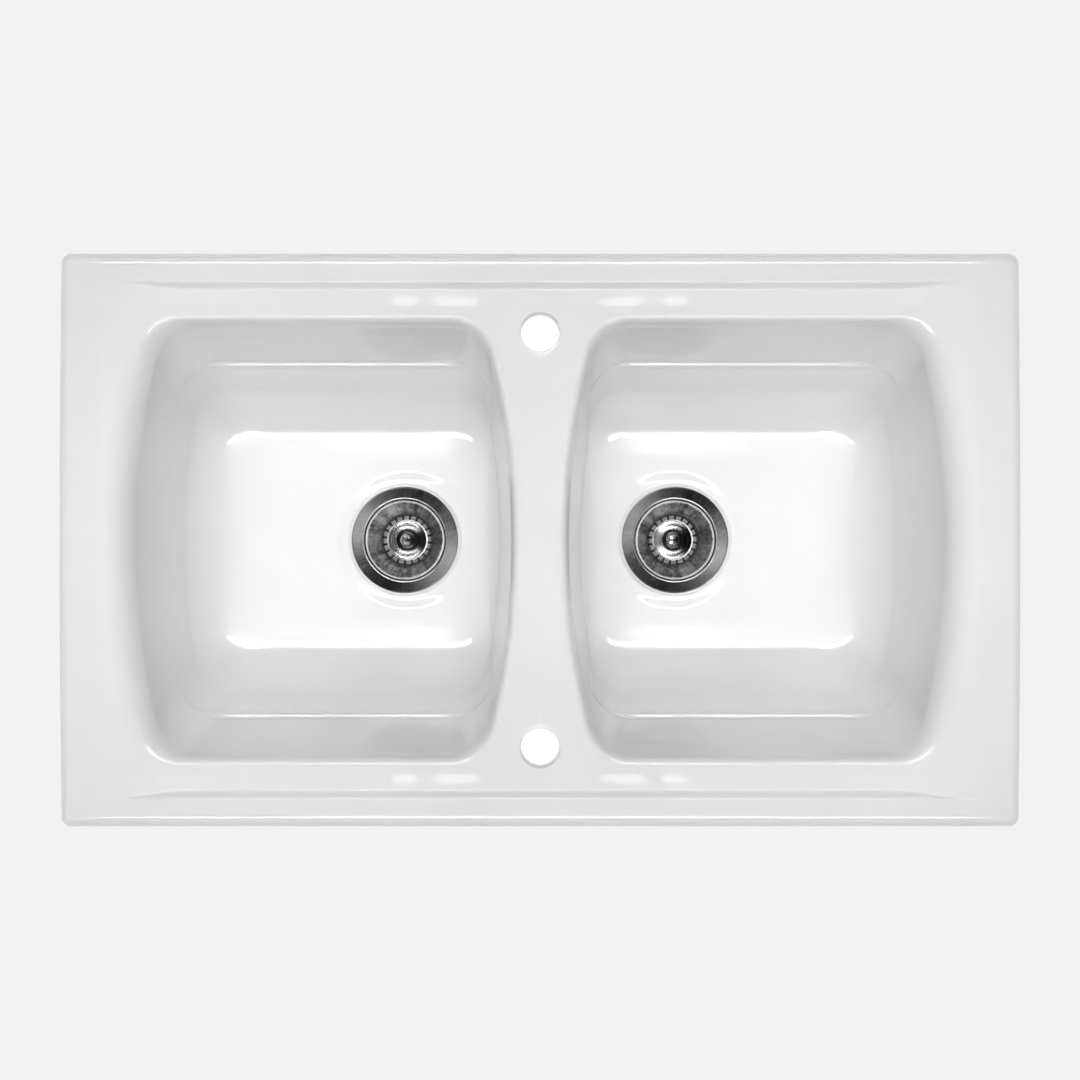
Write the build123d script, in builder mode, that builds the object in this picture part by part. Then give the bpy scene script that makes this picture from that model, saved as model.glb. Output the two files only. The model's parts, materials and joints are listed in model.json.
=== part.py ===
from build123d import *
import math
import os

# Double bowl inset kitchen sink with two basket strainer wastes. Millimetres.
# The origin is the middle of the sink's plan, on the worktop: X runs along the long side,
# Y to the back, Z up. The rim's underside is at Z = 0.

# ---- rim and deck
sink_length = 860.0
sink_width = 513.0
side_bow = 1.8  # the short sides bow out by this much in the firing
rim_height = 14.0
rim_corner_r = 9.0
rim_top_r = 11.5
rim_foot_r = 1.5
rim_overlap = 15.0  # how far the rim lies on the worktop all round
deck_thickness = 19.0  # from the rim's top to the deck's underside, inside the cut-out
deck_corner_r = 14.0

# ---- shallow recess in the deck, level along its middle and fading out towards both ends
recess_depth = 5.0
recess_half_width = 232.0
recess_step_width = 9.0
recess_level_half = 330.0
recess_half_length = 362.0

# ---- bowls: one is drawn on the right and mirrored
bowl_depth = 190.0  # below the recess
divider_half = 24.4  # from the sink's middle to the bowl's inner lip, at the waist
bowl_reach = 369.0  # from the sink's middle to the bowl's outer lip
bowl_half_width = 197.5
inner_bow_r = 680.0  # plan radius of the bowl's inner side
outer_bow_r = 700.0
bowl_corner_r = 38.0
lip_drop = 8.0
lip_roll = 8.0  # plan width of the rounded lip, front and back
inner_lip_roll = 10.0
outer_lip_roll = 26.0  # the outer lip is softer
lip_flare = 5.0  # more width where the deck stands above the recess
lip_turn = 72.0  # degrees from level to the start of the wall
lip_steps = 5
ledge_depth = 80.0  # where the front and back walls step in over a narrow ledge
ledge_drop = 4.5
ledge_width = 5.5
ledge_steps = 4
upper_inset = 25.0  # how far the front and back walls lean in above the ledge
foot_depth = 139.0  # where the front and back walls start to round into the floor
foot_inset = 14.0  # how far they lean in from the ledge to there
floor_edge_half = 116.0  # from the bowl's middle to where that rounding meets the floor
floor_edge_tilt = 18.6  # degrees of slope there, which die away towards the middle
floor_level_half = 49.0
inner_foot_depth = 158.0
inner_foot_inset = 17.0
inner_floor_round = 25.0
outer_foot_depth = 125.0
outer_foot_inset = 10.0
outer_floor_round = 46.0
floor_corner_gain = 6.0  # how much the corners open out down the rounding
floor_steps = 10
bowl_wall = 11.0

# ---- tap holes
tap_hole_r = 17.5
tap_hole_offset = 185.6
tap_hole_edge = 1.5

# ---- seat for each waste
drain_offset = 143.9
drain_hole_r = 45.0
dish_r = 71.0
dish_depth = 3.0
seat_r = 60.0
seat_draft = 1.0
seat_depth = 5.0  # below the bowl's floor
seat_thickness = 14.0
boss_r = 64.0

# ---- strainer flange, a steel pressing
flange_r = 56.5
flange_skirt = 1.2
flange_skirt_gap = 0.3
flange_rise = 0.9  # how much higher the flange's outer part is than its inner edge
sheet = 1.0
throat_r = 43.2
throat_roll = 1.8
throat_depth = 30.0  # from the seat to the face that the stopper closes on
throat_foot_r = 4.0
sump_r = 26.0
sump_depth = 7.0
sump_round = 2.0
port_r = 4.6
port_circle_r = 15.5
port_count = 8
screw_hole_r = 3.3

# ---- seals
flange_seal_inner_r = 46.5
flange_seal_outer_r = 54.0
flange_seal_thickness = 1.2
gasket_outer_r = 57.0
gasket_thickness = 3.0

# ---- waste body
body_bore_r = 46.5
body_wall = 3.0
body_collar_r = 58.0
body_collar_thickness = 4.0
body_floor_depth = 50.0  # from the seat to the outer edge of the body's floor
body_cone_drop = 6.0
body_round = 3.0
tail_bore_r = 20.0
tail_r = 23.9  # 1 1/2 inch pipe thread, over its crests
tail_length = 34.0
tail_mouth_relief = 0.8  # the tail's bore is a little wider at its mouth
tail_mouth_depth = 18.0
spider_arm = 4.0
spider_height = 9.0
spider_count = 3
insert_boss_r = 7.5
insert_boss_height = 12.0
insert_r = 5.0
insert_flange_r = 6.4
insert_flange_height = 1.5

# ---- clamp screw, M6
screw_r = 3.0
screw_gap = 0.05
screw_head_r = 5.5
screw_head_height = 3.0
screw_head_round = 0.8
screw_slot_width = 1.6
screw_slot_depth = 1.4
screw_end_gap = 2.0

# ---- stopper
stopper_r = 30.0
stopper_thickness = 4.0
stopper_round = 1.2
washer_r = 14.0
washer_thickness = 2.0
washer_round = 0.5
stem_running_gap = 0.06
stem_rubber_gap = 0.4

# ---- basket
stem_r = 3.0
stem_collar_r = 5.0
stem_collar_height = 1.5
stem_groove_r = 2.3
stem_end = 1.4
stem_chamfer = 0.5
clip_r = 5.0
clip_thickness = 0.7
clip_mouth = 3.4
clip_fit = 0.05
swivel_gap = 0.3
basket_sheet = 0.8
basket_rim_r = 42.4
basket_rim_drop = 1.0  # from the top of the flange's inner edge to the basket's rim
basket_rim_height = 2.0
basket_mouth_r = 39.9
basket_foot_r = 26.0
basket_foot_round = 2.0
basket_rise_r = 24.0
basket_rise = 1.5
slot_count = 20
slot_width = 1.5
slot_inner_r = 22.3
slot_outer_r = 27.6
slot_turn = 6.7  # degrees from the back to the first slot
knob_foot_r = 20.5
knob_edge = 1.2
knob_shoulder_r = 12.0
knob_shoulder_height = 3.4
knob_neck_r = 6.0
knob_neck_height = 6.4
knob_ball_r = 6.8
knob_ball_height = 8.6
knob_height = 11.0
knob_crown_r = 2.6
knob_crown_drop = 0.3
knob_foot_slope = 0.12  # how steeply the knob's flank starts, as rise over run
knob_ball_flare = 0.3  # how fast the ball opens above the neck, as run over rise
knob_bore_depth = 6.0

overshoot = 5.0  # how far cutting shapes run past what they cut
radius_match = 0.01  # how near an edge's radius must be for it to be picked by its radius

# ---- levels of the sink
recess_z = rim_height - recess_depth
deck_under_z = rim_height - deck_thickness
floor_z = recess_z - bowl_depth
seat_z = floor_z - seat_depth

# ---- levels in a waste, above its seat
flange_top = flange_seal_thickness + sheet
stopper_top = stopper_thickness - throat_depth
washer_top = stopper_top + washer_thickness
collar_top = washer_top + swivel_gap + stem_collar_height
basket_floor = collar_top + basket_sheet
clip_top = -throat_depth - swivel_gap
stem_foot = clip_top - clip_thickness - stem_end
sump_floor = -throat_depth - sump_depth
gasket_top = -seat_thickness
collar_under = gasket_top - gasket_thickness
cone_foot = -body_floor_depth - body_cone_drop
boss_top = cone_foot + insert_boss_height - spider_height
boss_foot = boss_top - insert_boss_height
insert_foot = boss_foot - insert_flange_height
tail_foot = cone_foot - tail_length
tail_mouth_r = tail_bore_r + tail_mouth_relief


def export_piece(piece, name):
    piece.label = name
    export_step(piece, "parts/" + name + ".step")


# ---- the sink
def bowl_outline(depth, inner, reach, half_width, corner):
    """One level outline of the right-hand bowl: bowed sides, straight front and back."""
    near_x = inner + inner_bow_r - math.sqrt(inner_bow_r**2 - half_width**2)
    far_x = reach - outer_bow_r + math.sqrt(outer_bow_r**2 - half_width**2)
    with BuildSketch(Plane.XY.offset(recess_z - depth), mode=Mode.PRIVATE) as outline:
        with BuildLine():
            ThreePointArc((near_x, -half_width), (inner, 0), (near_x, half_width))
            Line((near_x, half_width), (far_x, half_width))
            ThreePointArc((far_x, half_width), (reach, 0), (far_x, -half_width))
            Line((far_x, -half_width), (near_x, -half_width))
        make_face()
        fillet(outline.vertices(), corner)
    return outline.sketch


def lip_outline(depth, share, flare=0.0):
    """An outline on the rounded lip, where share is 1 at the deck and 0 on the wall."""
    roll = lip_roll * share + flare
    outer_roll = outer_lip_roll * share + flare
    return bowl_outline(
        depth,
        divider_half - inner_lip_roll * share - flare,
        bowl_reach + outer_roll,
        bowl_half_width + roll,
        bowl_corner_r + roll,
    )


def lip_curve_outline(step):
    """The outline at one step down the lip's curve."""
    turn = math.radians(lip_turn * step / lip_steps)
    return lip_outline(lip_drop * (1 - math.cos(turn)), 1 - math.sin(turn))


def side_inset(depth, foot_depth, foot_inset, floor_round):
    """How far one of the bowed sides has come in at a depth: a lean, then a rounding."""
    lean = foot_inset * min(1.0, depth / foot_depth)
    share = max(0.0, (depth - foot_depth) / (bowl_depth - foot_depth))
    return lean + floor_round * (1 - math.sqrt(1 - share**2))


def wall_half(depth, stepped):
    """Half the bowl's width between the front and back walls, above their feet."""
    upper = min(1.0, depth / ledge_depth)
    ledge_foot = ledge_depth + ledge_drop
    lower = max(0.0, (depth - ledge_foot) / (foot_depth - ledge_foot))
    return bowl_half_width - upper_inset * upper - ledge_width * stepped - foot_inset * lower


def floor_half(depth):
    """Half the bowl's width around the rounding, then over the dished floor."""
    edge_turn = math.radians(floor_edge_tilt)
    dish_curve = (floor_edge_half - floor_level_half) / math.sin(edge_turn)
    edge_rise = dish_curve * (1 - math.cos(edge_turn))
    above = bowl_depth - depth
    if above <= edge_rise:
        return floor_level_half + math.sqrt(above * (2 * dish_curve - above))
    foot_half = wall_half(foot_depth, 1)
    foot_turn = math.atan2(foot_depth - ledge_depth - ledge_drop, foot_inset)
    share = (above - edge_rise) / (bowl_depth - foot_depth - edge_rise)
    level = math.cos(edge_turn) + (math.cos(foot_turn) - math.cos(edge_turn)) * share
    across = (math.sqrt(1 - level**2) - math.sin(edge_turn)) / (math.sin(foot_turn) - math.sin(edge_turn))
    return floor_edge_half + (foot_half - floor_edge_half) * across


def wall_outline(depth, stepped=1.0, wall=0.0):
    """An outline below the lip; a wall's thickness out and down, it is one on the outside."""
    drop = max(0.0, (depth - foot_depth) / (bowl_depth - foot_depth))
    half_width = floor_half(depth) if drop else wall_half(depth, stepped)
    return bowl_outline(
        depth + wall * drop,
        divider_half + side_inset(depth, inner_foot_depth, inner_foot_inset, inner_floor_round) - wall,
        bowl_reach - side_inset(depth, outer_foot_depth, outer_foot_inset, outer_floor_round) + wall,
        half_width + wall,
        bowl_corner_r + wall + floor_corner_gain * drop,
    )


def ledge_outline(step, wall=0.0):
    """The outline at one step down the ledge, which eases in and out."""
    share = step / ledge_steps
    return wall_outline(ledge_depth + ledge_drop * share, share**2 * (3 - 2 * share), wall)


def floor_outline(step, wall=0.0):
    """The outline at one step down from the walls' feet to the floor."""
    share = math.sin(math.radians(90 * step / floor_steps))
    return wall_outline(foot_depth + (bowl_depth - foot_depth) * share, 1, wall)


# the space inside the right-hand bowl, from above the rim's level down to the floor
with BuildPart() as bowl_space:
    loft(
        [lip_outline(-recess_depth, 1, lip_flare)]
        + [lip_curve_outline(step) for step in range(lip_steps + 1)]
        + [ledge_outline(step) for step in range(ledge_steps + 1)]
        + [wall_outline(outer_foot_depth)]
        + [floor_outline(step) for step in range(floor_steps + 1)],
        ruled=True,
    )

# the outside of the right-hand bowl, from inside the deck down
with BuildPart() as bowl_shell:
    loft(
        [wall_outline(recess_z, 0, bowl_wall), ledge_outline(0, bowl_wall)]
        + [ledge_outline(ledge_steps, bowl_wall), wall_outline(outer_foot_depth, 1, bowl_wall)]
        + [floor_outline(step, bowl_wall) for step in range(floor_steps + 1)],
        ruled=True,
    )

# the recess: a trough that runs out at both ends, with sloping long sides
with BuildPart() as deck_recess:
    with BuildSketch(Plane.XZ):
        with BuildLine():
            Polyline(
                (-recess_half_length, rim_height),
                (-recess_level_half, recess_z),
                (recess_level_half, recess_z),
                (recess_half_length, rim_height),
                (recess_half_length, rim_height + overshoot),
                (-recess_half_length, rim_height + overshoot),
                close=True,
            )
        make_face()
    extrude(amount=recess_half_width + overshoot, both=True)
    with BuildSketch(Plane.YZ):
        with BuildLine():
            Polyline(
                (recess_step_width - recess_half_width, recess_z),
                (recess_half_width - recess_step_width, recess_z),
                (recess_half_width, rim_height),
                (recess_half_width, rim_height + overshoot),
                (-recess_half_width, rim_height + overshoot),
                (-recess_half_width, rim_height),
                close=True,
            )
        make_face()
    extrude(amount=recess_half_length + overshoot, both=True, mode=Mode.INTERSECT)


def waste_plane(centre_x):
    """The upright plane through a waste's axis: radius across, height above the seat up."""
    return Plane(origin=(centre_x, 0, seat_z), x_dir=(1, 0, 0), z_dir=(0, -1, 0))


def level_plane(centre_x, height):
    """A level plane across a waste's axis, at a height above the seat."""
    return Plane.XY.offset(seat_z + height).shift_origin((centre_x, 0, seat_z + height))


def waste_axis(centre_x):
    return Axis((centre_x, 0, seat_z), (0, 0, 1))


def turned_face(centre_x, points, rounds):
    """A closed profile for turning about a waste's axis, each corner with its own radius."""
    with BuildSketch(waste_plane(centre_x), mode=Mode.PRIVATE) as profile:
        with BuildLine():
            FilletPolyline(*points, radius=rounds, close=True)
        make_face()
    return profile.sketch


with BuildPart() as sink_body:
    half_length = sink_length / 2
    half_width = sink_width / 2
    with BuildSketch():
        with BuildLine():
            Line((half_length - side_bow, -half_width), (side_bow - half_length, -half_width))
            ThreePointArc(
                (side_bow - half_length, -half_width),
                (-half_length, 0),
                (side_bow - half_length, half_width),
            )
            Line((side_bow - half_length, half_width), (half_length - side_bow, half_width))
            ThreePointArc(
                (half_length - side_bow, half_width),
                (half_length, 0),
                (half_length - side_bow, -half_width),
            )
        make_face()
        fillet(vertices(), rim_corner_r)
    extrude(amount=rim_height)
    fillet(faces().sort_by(Axis.Z)[-1].edges(), rim_top_r)
    fillet(faces().sort_by(Axis.Z)[0].edges(), rim_foot_r)
    with BuildSketch(Plane.XY.offset(deck_under_z)):
        RectangleRounded(
            sink_length - 2 * rim_overlap, sink_width - 2 * rim_overlap, deck_corner_r
        )
    extrude(amount=rim_height - overshoot - deck_under_z)
    add(bowl_shell.part)
    add(mirror(bowl_shell.part, about=Plane.YZ, mode=Mode.PRIVATE))
    for centre_x in (-drain_offset, drain_offset):
        boss = turned_face(
            centre_x,
            [(0, -seat_thickness), (boss_r, -seat_thickness), (boss_r, 0), (0, 0)],
            [0, 0, 0, 0],
        )
        revolve(boss, axis=waste_axis(centre_x))
    add(deck_recess.part, mode=Mode.SUBTRACT)
    add(bowl_space.part, mode=Mode.SUBTRACT)
    add(mirror(bowl_space.part, about=Plane.YZ, mode=Mode.PRIVATE), mode=Mode.SUBTRACT)
    for centre_x in (-drain_offset, drain_offset):
        seat_space = turned_face(
            centre_x,
            [
                (0, 0),
                (seat_r - seat_draft, 0),
                (seat_r, seat_depth - dish_depth),
                (dish_r, seat_depth),
                (dish_r, seat_depth + overshoot),
                (0, seat_depth + overshoot),
            ],
            [0, 0, 0, 0, 0, 0],
        )
        revolve(seat_space, axis=waste_axis(centre_x), mode=Mode.SUBTRACT)
        with Locations((centre_x, 0, seat_z)):
            Cylinder(drain_hole_r, 2 * (seat_thickness + overshoot), mode=Mode.SUBTRACT)
    for centre_y in (-tap_hole_offset, tap_hole_offset):
        with Locations((0, centre_y, 0)):
            Cylinder(tap_hole_r, 2 * (rim_height + deck_thickness), mode=Mode.SUBTRACT)
    tap_edges = edges().filter_by(GeomType.CIRCLE)
    tap_edges = tap_edges.filter_by(lambda edge: abs(edge.radius - tap_hole_r) < radius_match)
    fillet(tap_edges.group_by(Axis.Z)[-1], tap_hole_edge)


# ---- the pieces of one waste
def make_strainer_flange(centre_x):
    """Steel pressing: flange, throat, seat for the stopper, and a sump with its ports."""
    axis = waste_axis(centre_x)
    with BuildPart() as strainer_flange:
        outside = turned_face(
            centre_x,
            [
                (0, sump_floor - sheet),
                (sump_r + sheet, sump_floor - sheet),
                (sump_r + sheet, -throat_depth - sheet),
                (throat_r + sheet, -throat_depth - sheet),
                (throat_r + sheet, flange_seal_thickness),
                (flange_r - flange_skirt, flange_seal_thickness),
                (flange_r - flange_skirt, flange_skirt_gap),
                (flange_r, flange_skirt_gap),
                (flange_r, flange_top + flange_rise),
                (throat_r, flange_top),
                (0, flange_top),
            ],
            [0, sump_round + sheet, sump_round, throat_foot_r + sheet, 0, 0, 0, 0, flange_skirt, 0, 0],
        )
        revolve(outside, axis=axis)
        inside = turned_face(
            centre_x,
            [
                (0, sump_floor),
                (sump_r, sump_floor),
                (sump_r, -throat_depth),
                (throat_r, -throat_depth),
                (throat_r, flange_top + overshoot),
                (0, flange_top + overshoot),
            ],
            [0, sump_round, sump_round, throat_foot_r, 0, 0],
        )
        revolve(inside, axis=axis, mode=Mode.SUBTRACT)
        mouth = edges().filter_by(GeomType.CIRCLE)
        mouth = mouth.filter_by(lambda edge: abs(edge.radius - throat_r) < radius_match)
        fillet(mouth.sort_by(Axis.Z)[-1], throat_roll)
        with Locations((centre_x, 0, seat_z + sump_floor)):
            Cylinder(screw_hole_r, 2 * overshoot, mode=Mode.SUBTRACT)
            with PolarLocations(port_circle_r, port_count):
                Cylinder(port_r, 2 * overshoot, mode=Mode.SUBTRACT)
    return strainer_flange.part


def make_ring(centre_x, foot, inner_r, outer_r, height, edge_r=0.0):
    """A flat ring about a waste's axis, with rounded outer edges if it has an edge radius."""
    with BuildPart() as ring:
        with BuildSketch(level_plane(centre_x, foot)):
            Circle(outer_r)
            Circle(inner_r, mode=Mode.SUBTRACT)
        extrude(amount=height)
        if edge_r:
            rims = edges().filter_by(GeomType.CIRCLE)
            rims = rims.filter_by(lambda edge: abs(edge.radius - outer_r) < radius_match)
            fillet(rims, edge_r)
    return ring.part


def make_waste_body(centre_x):
    """Moulded body: collar, bore, coned floor, and a tail with the spider for the insert."""
    axis = waste_axis(centre_x)
    with BuildPart() as waste_body:
        outside = turned_face(
            centre_x,
            [
                (0, tail_foot),
                (tail_r, tail_foot),
                (tail_r, cone_foot - body_wall),
                (body_bore_r + body_wall, -body_floor_depth - body_wall),
                (body_bore_r + body_wall, collar_under - body_collar_thickness),
                (body_collar_r, collar_under - body_collar_thickness),
                (body_collar_r, collar_under),
                (0, collar_under),
            ],
            [0, 0, body_round, body_round + body_wall, 0, 0, 0, 0],
        )
        revolve(outside, axis=axis)
        inside = turned_face(
            centre_x,
            [
                (0, tail_foot - overshoot),
                (tail_mouth_r, tail_foot - overshoot),
                (tail_mouth_r, tail_foot + tail_mouth_depth),
                (tail_bore_r, tail_foot + tail_mouth_depth),
                (tail_bore_r, cone_foot),
                (body_bore_r, -body_floor_depth),
                (body_bore_r, collar_under + overshoot),
                (0, collar_under + overshoot),
            ],
            [0, 0, 0, 0, body_round, body_round, 0, 0],
        )
        revolve(inside, axis=axis, mode=Mode.SUBTRACT)
        with BuildSketch(level_plane(centre_x, boss_foot)):
            Circle(insert_boss_r)
        extrude(amount=insert_boss_height)
        with BuildSketch(level_plane(centre_x, cone_foot - spider_height)):
            with PolarLocations(tail_r / 2, spider_count, start_angle=90):
                Rectangle(tail_r, spider_arm)
            Circle(tail_bore_r + body_wall / 2, mode=Mode.INTERSECT)
        extrude(amount=spider_height)
        with BuildSketch(level_plane(centre_x, boss_foot)):
            Circle(insert_r)
        extrude(amount=insert_boss_height, mode=Mode.SUBTRACT)
    return waste_body.part


def make_thread_insert(centre_x):
    """Brass insert, pushed up into the spider's boss until its flange bears."""
    with BuildPart() as thread_insert:
        with BuildSketch(level_plane(centre_x, insert_foot)):
            Circle(insert_flange_r)
        extrude(amount=insert_flange_height)
        with BuildSketch(level_plane(centre_x, boss_foot)):
            Circle(insert_r)
        extrude(amount=insert_boss_height)
        with BuildSketch(level_plane(centre_x, insert_foot)):
            Circle(screw_r + screw_gap)
        extrude(amount=insert_flange_height + insert_boss_height, mode=Mode.SUBTRACT)
    return thread_insert.part


def make_clamp_screw(centre_x):
    """Slotted pan-head M6 screw, from the sump's floor down through the insert."""
    head_top = sump_floor + screw_head_height
    with BuildPart() as clamp_screw:
        outline = turned_face(
            centre_x,
            [
                (0, insert_foot - screw_end_gap),
                (screw_r, insert_foot - screw_end_gap),
                (screw_r, sump_floor),
                (screw_head_r, sump_floor),
                (screw_head_r, head_top),
                (0, head_top),
            ],
            [0, screw_head_round, 0, 0, screw_head_round, 0],
        )
        revolve(outline, axis=waste_axis(centre_x))
        with BuildSketch(level_plane(centre_x, head_top - screw_slot_depth)):
            Rectangle(2 * screw_head_r, screw_slot_width)
        extrude(amount=screw_slot_depth, mode=Mode.SUBTRACT)
    return clamp_screw.part


def make_basket_cup(centre_x):
    """Pressed basket: rolled rim, sloping wall, raised middle and a ring of slots."""
    axis = waste_axis(centre_x)
    rim_top = flange_top - basket_rim_drop
    foot = basket_floor - basket_rise
    with BuildPart() as basket_cup:
        outside = turned_face(
            centre_x,
            [
                (0, basket_floor - basket_sheet),
                (basket_rise_r - basket_sheet, basket_floor - basket_sheet),
                (basket_rise_r - basket_sheet, foot - basket_sheet),
                (basket_foot_r + basket_sheet, foot - basket_sheet),
                (basket_mouth_r + basket_sheet, rim_top - basket_rim_height),
                (basket_rim_r, rim_top - basket_rim_height),
                (basket_rim_r, rim_top),
                (0, rim_top),
            ],
            [0, 0, 0, basket_foot_round + basket_sheet, 0, 0, basket_sheet, 0],
        )
        revolve(outside, axis=axis)
        inside = turned_face(
            centre_x,
            [
                (0, basket_floor),
                (basket_rise_r, basket_floor),
                (basket_rise_r, foot),
                (basket_foot_r, foot),
                (basket_mouth_r, rim_top),
                (basket_mouth_r, rim_top + overshoot),
                (0, rim_top + overshoot),
            ],
            [0, basket_sheet, 0, basket_foot_round, 0, 0, 0],
        )
        revolve(inside, axis=axis, mode=Mode.SUBTRACT)
        slot_r = (slot_inner_r + slot_outer_r) / 2
        with BuildSketch(level_plane(centre_x, foot)):
            Circle(stem_r)
            with PolarLocations(slot_r, slot_count, start_angle=90 - slot_turn):
                SlotOverall(slot_outer_r - slot_inner_r, slot_width)
        extrude(amount=basket_rise + overshoot, both=True, mode=Mode.SUBTRACT)
    return basket_cup.part


def make_basket_knob(centre_x):
    """Turned knob: wide polished foot, hollow neck and a rounded top, bored for the stem."""
    with BuildPart() as basket_knob:
        with BuildSketch(waste_plane(centre_x)):
            with BuildLine():
                foot = Line((0, basket_floor), (knob_foot_r, basket_floor))
                edge = Line(foot @ 1, (knob_foot_r, basket_floor + knob_edge))
                flank = Spline(
                    edge @ 1,
                    (knob_shoulder_r, basket_floor + knob_shoulder_height),
                    (knob_neck_r, basket_floor + knob_neck_height),
                    tangents=[(-1, knob_foot_slope), (0, 1)],
                )
                crown = Spline(
                    flank @ 1,
                    (knob_ball_r, basket_floor + knob_ball_height),
                    (knob_crown_r, basket_floor + knob_height - knob_crown_drop),
                    (0, basket_floor + knob_height),
                    tangents=[(knob_ball_flare, 1), (-1, 0)],
                )
                Line(crown @ 1, foot @ 0)
            make_face()
        revolve(axis=waste_axis(centre_x))
        with BuildSketch(level_plane(centre_x, basket_floor)):
            Circle(stem_r)
        extrude(amount=knob_bore_depth, mode=Mode.SUBTRACT)
    return basket_knob.part


def make_basket_stem(centre_x):
    """Shouldered pin from inside the knob down to below the stopper, grooved for its clip."""
    with BuildPart() as basket_stem:
        outline = turned_face(
            centre_x,
            [
                (0, stem_foot),
                (stem_r, stem_foot),
                (stem_r, clip_top - clip_thickness),
                (stem_groove_r, clip_top - clip_thickness),
                (stem_groove_r, clip_top),
                (stem_r, clip_top),
                (stem_r, collar_top - stem_collar_height),
                (stem_collar_r, collar_top - stem_collar_height),
                (stem_collar_r, collar_top),
                (stem_r, collar_top),
                (stem_r, basket_floor + knob_bore_depth),
                (0, basket_floor + knob_bore_depth),
            ],
            [0, stem_chamfer, 0, 0, 0, 0, 0, 0, 0, 0, 0, 0],
        )
        revolve(outline, axis=waste_axis(centre_x))
    return basket_stem.part


def make_stem_clip(centre_x):
    """Open ring clip in the stem's groove, under the stopper."""
    with BuildPart() as stem_clip:
        with BuildSketch(level_plane(centre_x, clip_top - clip_thickness)):
            Circle(clip_r)
            Circle(stem_groove_r + clip_fit, mode=Mode.SUBTRACT)
            with Locations((0, clip_r)):
                Rectangle(clip_mouth, 2 * clip_r, mode=Mode.SUBTRACT)
        extrude(amount=clip_thickness)
    return stem_clip.part


def make_stopper_seal(centre_x):
    """Rubber disc that closes on the flange's seat."""
    return make_ring(
        centre_x,
        -throat_depth,
        stem_r + stem_rubber_gap,
        stopper_r,
        stopper_thickness,
        stopper_round,
    )


def make_stopper_washer(centre_x):
    """Steel washer on the stopper, with the hole that the stem turns in."""
    return make_ring(
        centre_x,
        stopper_top,
        stem_r + stem_running_gap,
        washer_r,
        washer_thickness,
        washer_round,
    )


os.makedirs("parts", exist_ok=True)
export_piece(sink_body.part, "sink_body")
for side, centre_x in (("left", -drain_offset), ("right", drain_offset)):
    flange_seal = make_ring(
        centre_x, 0, flange_seal_inner_r, flange_seal_outer_r, flange_seal_thickness
    )
    lower_gasket = make_ring(
        centre_x, collar_under, body_bore_r, gasket_outer_r, gasket_thickness
    )
    export_piece(make_strainer_flange(centre_x), side + "_strainer_flange")
    export_piece(flange_seal, side + "_flange_seal")
    export_piece(lower_gasket, side + "_lower_gasket")
    export_piece(make_waste_body(centre_x), side + "_waste_body")
    export_piece(make_thread_insert(centre_x), side + "_thread_insert")
    export_piece(make_clamp_screw(centre_x), side + "_clamp_screw")
    export_piece(make_stopper_seal(centre_x), side + "_stopper_seal")
    export_piece(make_stopper_washer(centre_x), side + "_stopper_washer")
    export_piece(make_basket_cup(centre_x), side + "_basket_cup")
    export_piece(make_basket_stem(centre_x), side + "_basket_stem")
    export_piece(make_basket_knob(centre_x), side + "_basket_knob")
    export_piece(make_stem_clip(centre_x), side + "_stem_clip")
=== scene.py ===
import bpy
import bmesh
import json
import math
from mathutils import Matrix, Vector

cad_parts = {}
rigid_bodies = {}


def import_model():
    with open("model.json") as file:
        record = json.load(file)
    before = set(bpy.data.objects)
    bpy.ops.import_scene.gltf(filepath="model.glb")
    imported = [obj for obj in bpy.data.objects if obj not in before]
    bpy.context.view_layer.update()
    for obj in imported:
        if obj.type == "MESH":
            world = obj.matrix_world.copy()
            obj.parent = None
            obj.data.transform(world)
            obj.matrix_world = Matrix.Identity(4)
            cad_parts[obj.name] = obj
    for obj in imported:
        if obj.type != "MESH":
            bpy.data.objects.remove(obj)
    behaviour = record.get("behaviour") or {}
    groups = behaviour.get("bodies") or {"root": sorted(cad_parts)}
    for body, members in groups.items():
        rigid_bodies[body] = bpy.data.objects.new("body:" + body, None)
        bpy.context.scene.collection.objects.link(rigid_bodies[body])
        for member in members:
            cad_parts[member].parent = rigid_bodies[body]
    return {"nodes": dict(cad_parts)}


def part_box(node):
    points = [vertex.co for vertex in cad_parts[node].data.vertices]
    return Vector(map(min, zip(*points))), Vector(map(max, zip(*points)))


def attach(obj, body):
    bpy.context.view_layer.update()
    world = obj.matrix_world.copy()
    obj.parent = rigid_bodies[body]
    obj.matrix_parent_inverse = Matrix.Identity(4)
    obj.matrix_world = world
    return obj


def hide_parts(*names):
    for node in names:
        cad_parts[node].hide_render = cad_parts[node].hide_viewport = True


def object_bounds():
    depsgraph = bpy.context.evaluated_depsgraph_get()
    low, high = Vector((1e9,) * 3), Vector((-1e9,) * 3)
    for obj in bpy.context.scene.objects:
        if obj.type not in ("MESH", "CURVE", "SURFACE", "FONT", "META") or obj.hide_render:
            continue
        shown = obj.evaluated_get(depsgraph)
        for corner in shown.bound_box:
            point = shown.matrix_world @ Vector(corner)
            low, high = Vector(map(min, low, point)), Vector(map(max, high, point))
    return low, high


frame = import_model()
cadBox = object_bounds()
nodes = frame["nodes"]
mm = 0.001

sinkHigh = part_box("sink_body")[1]
flangeLow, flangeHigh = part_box("right_strainer_flange")
drainX = (flangeLow.x + flangeHigh.x) / 2
print("frame loaded,", len(nodes), "nodes")


def smooth(share):
    share = min(1.0, max(0.0, share))
    return share * share * (3 - 2 * share)


def mix(low, high, share):
    return low + (high - low) * share


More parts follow.
